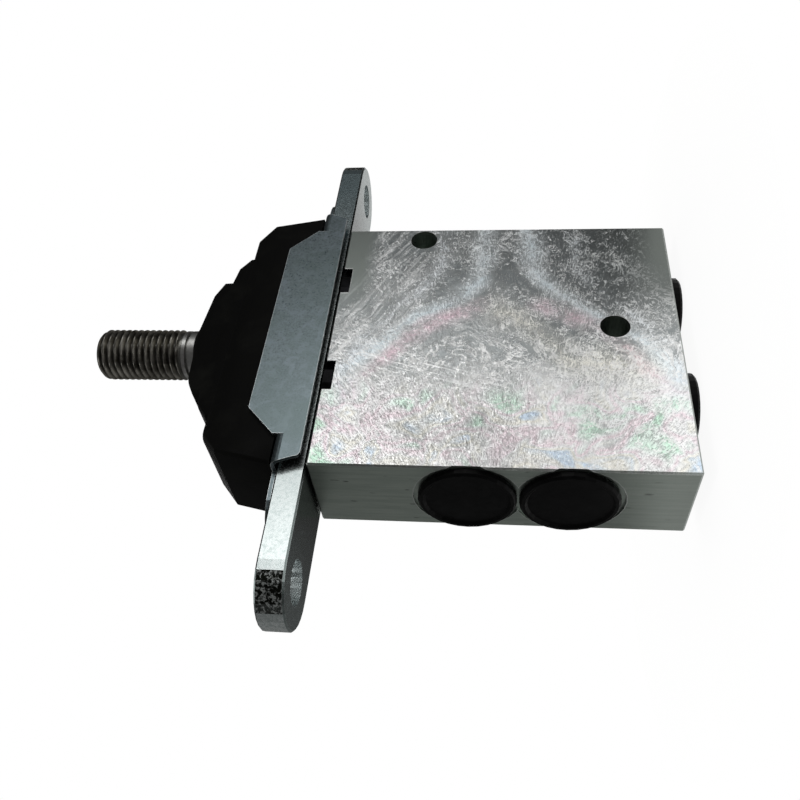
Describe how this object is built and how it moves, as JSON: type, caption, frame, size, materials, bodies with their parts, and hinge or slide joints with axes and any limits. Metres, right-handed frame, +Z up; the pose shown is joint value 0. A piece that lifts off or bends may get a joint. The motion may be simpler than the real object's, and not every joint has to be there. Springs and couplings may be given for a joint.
{
  "type": "hydraulic_pilot_valve",
  "caption": "Hydraulic pilot valve for one lever axis: flat block with capped ports, mounting flange with bolt ears, rubber bellows and a threaded stud that tilts.",
  "frame": {"origin": "on the lever's axis, level with the outer faces of the two end caps that it stands on", "axes": "+Z up along the lever; X along the mounting flange, with the two side ports at -X; the large face with the machining marks in the picture faces -Y"},
  "size_m": [0.1334, 0.0234, 0.1348],
  "materials": {
    "block_aluminium": "machined, smeared with use",
    "flange_steel": "zinc plated, speckled",
    "sheet_steel": "zinc plated sheet with sheared edges",
    "bellows_rubber": "moulded, slight sheen",
    "seal_rubber": "smooth",
    "cap_plastic": "moulded black",
    "bush_metal": "blackened",
    "stud_steel": "dark, oiled, fine thread",
    "plain_steel": "plain machined",
    "bright_steel": "ground bright"
  },
  "bodies": {
    "valve": {"valve_body": "block_aluminium", "tank_port_cap": "cap_plastic", "supply_port_cap": "cap_plastic", "end_port_cap_right": "cap_plastic", "end_port_cap_left": "cap_plastic", "mounting_flange": "flange_steel", "flange_screw_right": "plain_steel", "flange_screw_left": "plain_steel", "bellows_retainer": "sheet_steel", "retainer_screw_right": "plain_steel", "retainer_screw_left": "plain_steel", "bellows": "bellows_rubber", "guide_bush_right": "bush_metal", "plunger_seal_right": "seal_rubber", "bush_seal_right": "seal_rubber", "wiper_right": "seal_rubber", "guide_bush_left": "bush_metal", "plunger_seal_left": "seal_rubber", "bush_seal_left": "seal_rubber", "wiper_left": "seal_rubber", "pivot_pin": "bright_steel", "pivot_lug_front": "plain_steel", "pivot_lug_rear": "plain_steel", "circlip_front": "plain_steel", "circlip_rear": "plain_steel"},
    "lever": {"rocker": "plain_steel", "lever_stud": "stud_steel"},
    "right_plunger": {"plunger_right": "bright_steel", "spring_seat_right": "plain_steel", "return_spring_right": "bright_steel", "metering_spring_right": "bright_steel"},
    "left_plunger": {"plunger_left": "bright_steel", "spring_seat_left": "plain_steel", "return_spring_left": "bright_steel", "metering_spring_left": "bright_steel"},
    "right_spool": {"spool_right": "plain_steel"},
    "left_spool": {"spool_left": "plain_steel"}
  },
  "joints": [
    {"name": "lever_tilt", "type": "hinge", "parent": "valve", "child": "lever", "pos_m": [0, 0, 0.0883], "axis": [0, 1, 0], "range_deg": [-20, 20], "stiffness_Nm_per_rad": 2, "deforming": ["bellows"]},
    {"name": "right_plunger_slide", "type": "slide", "parent": "valve", "child": "right_plunger", "axis": [0, 0, 1], "range_m": [-0.0051, 0.0051], "deforming": ["return_spring_right", "metering_spring_right"]},
    {"name": "left_plunger_slide", "type": "slide", "parent": "valve", "child": "left_plunger", "axis": [0, 0, 1], "range_m": [-0.0051, 0.0051], "deforming": ["return_spring_left", "metering_spring_left"]},
    {"name": "right_spool_slide", "type": "slide", "parent": "valve", "child": "right_spool", "axis": [0, 0, 1], "range_m": [-0.00105, 0.00105]},
    {"name": "left_spool_slide", "type": "slide", "parent": "valve", "child": "left_spool", "axis": [0, 0, 1], "range_m": [-0.00105, 0.00105]}
  ],
  "couplings": [
    {"joint": "right_plunger_slide", "follows": "lever_tilt", "m_per_rad": -0.0145},
    {"joint": "left_plunger_slide", "follows": "lever_tilt", "m_per_rad": 0.0145},
    {"joint": "right_spool_slide", "follows": "lever_tilt", "m_per_rad": -0.0029},
    {"joint": "left_spool_slide", "follows": "lever_tilt", "m_per_rad": 0.0029}
  ]
}
